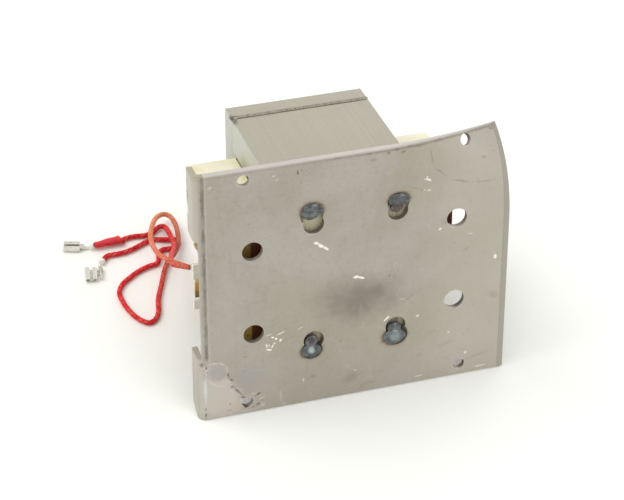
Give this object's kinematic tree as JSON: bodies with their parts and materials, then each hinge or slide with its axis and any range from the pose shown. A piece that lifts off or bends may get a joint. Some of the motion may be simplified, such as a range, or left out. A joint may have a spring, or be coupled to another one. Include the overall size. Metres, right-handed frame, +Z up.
{
  "type": "high voltage transformer",
  "caption": "High voltage transformer with a welded EI core on a folded steel mounting plate with a bent corner, and knotted red filament leads with crimped receptacles.",
  "frame": {"origin": "middle of the mounting plate's four large holes, on its front face", "axes": "+X right along the plate, +Y back over the core, +Z up from the floor that it rests on; the plate leans back 13.3 degrees"},
  "size_m": [0.2086, 0.1493, 0.1416],
  "materials": {
    "plate_steel": "bare plated steel, warm grey, smudged and scratched",
    "lamination_steel": "sheared silicon steel with a pale varnish, dusty",
    "weld_metal": "weld metal with a dark blue-grey skin",
    "varnished_wire": "enamelled winding wire under dark red-brown varnish",
    "insulation_paper": "cream insulation paper soaked with varnish",
    "varnished_board": "amber varnish over insulation board",
    "white_plastic": "off-white moulded plastic",
    "tan_sleeve": "tan woven sleeve",
    "tinned_brass": "tin-plated brass, dull",
    "faded_lead": "woven red lead cover, sun-faded to orange",
    "red_lead": "woven red lead cover"
  },
  "bodies": {
    "root": {"mounting_plate": "plate_steel", "core_e_stack": "lamination_steel", "core_i_stack": "lamination_steel", "shunt_upper": "lamination_steel", "shunt_lower": "lamination_steel", "seam_weld_top": "weld_metal", "seam_weld_bottom": "weld_metal", "primary_tube": "insulation_paper", "primary_winding": "varnished_wire", "primary_wrap": "varnished_board", "secondary_tube": "insulation_paper", "secondary_winding": "varnished_wire", "secondary_wrap": "insulation_paper", "filament_winding": "red_lead", "exit_sleeve_a": "white_plastic", "exit_sleeve_b": "white_plastic", "primary_end_guard": "varnished_board", "top_paper_left": "insulation_paper", "top_paper_right": "insulation_paper", "window_packing_upper": "insulation_paper", "window_packing_lower": "insulation_paper", "terminal_board": "varnished_board", "terminal_post_upper": "white_plastic", "terminal_post_lower": "white_plastic", "primary_tab_upper": "tinned_brass", "primary_tab_lower": "tinned_brass", "primary_lead_sleeve": "tan_sleeve", "hv_terminal_block": "white_plastic", "hv_tab": "tinned_brass", "ground_tab": "tinned_brass", "filament_lead_a": "faded_lead", "filament_lead_b": "red_lead", "lead_jacket": "red_lead", "lead_ferrule_a": "white_plastic", "lead_ferrule_b": "white_plastic", "lead_terminal_a": "tinned_brass", "lead_terminal_b": "tinned_brass", "plug_weld_upper_left": "weld_metal", "plug_weld_upper_right": "weld_metal", "plug_weld_lower_left": "weld_metal", "plug_weld_lower_right": "weld_metal"}
  },
  "joints": []
}
